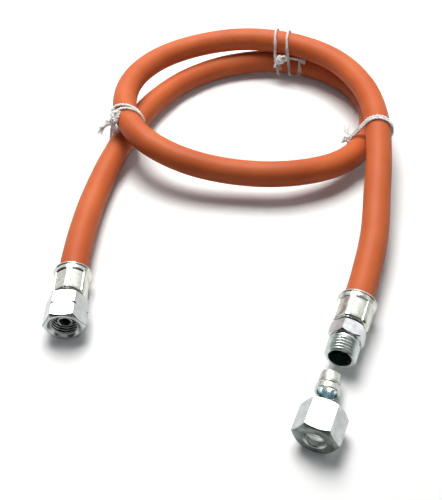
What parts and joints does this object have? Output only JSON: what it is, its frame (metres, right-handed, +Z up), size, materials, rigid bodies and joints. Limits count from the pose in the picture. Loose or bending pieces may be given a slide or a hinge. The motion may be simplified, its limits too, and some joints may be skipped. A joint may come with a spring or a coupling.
{
  "type": "flexible gas hose",
  "caption": "Rubber gas hose laid in a loop and tied, with a swivel nut fitting at one end and a cutting ring compression fitting at the other.",
  "frame": {"origin": "on the floor, under the middle of the area that the fittings, loose nut, loose ring and ties cover", "axes": "+Y from the fittings towards the back of the loop, +Z up from the floor the hose lies on"},
  "size_m": [0.1755, 0.2855, 0.0325],
  "materials": {
    "hose_rubber": "smooth satin terracotta orange",
    "zinc_plated_steel": "bright zinc plate",
    "cotton_string": "twisted undyed string"
  },
  "bodies": {
    "hose_assembly": {"hose": "hose_rubber", "swivel_ferrule": "zinc_plated_steel", "swivel_nipple": "zinc_plated_steel", "male_ferrule": "zinc_plated_steel", "male_fitting": "zinc_plated_steel", "cutting_ring": "zinc_plated_steel", "compression_nut": "zinc_plated_steel", "string_tie_left": "cotton_string", "string_tie_back": "cotton_string", "string_tie_right": "cotton_string"},
    "swivel": {"swivel_nut": "zinc_plated_steel"}
  },
  "joints": [
    {"name": "swivel_nut_spin", "type": "hinge", "parent": "hose_assembly", "child": "swivel", "pos_m": [-0.077, -0.0742, 0.0089], "axis": [0, -1, 0], "continuous": true}
  ]
}
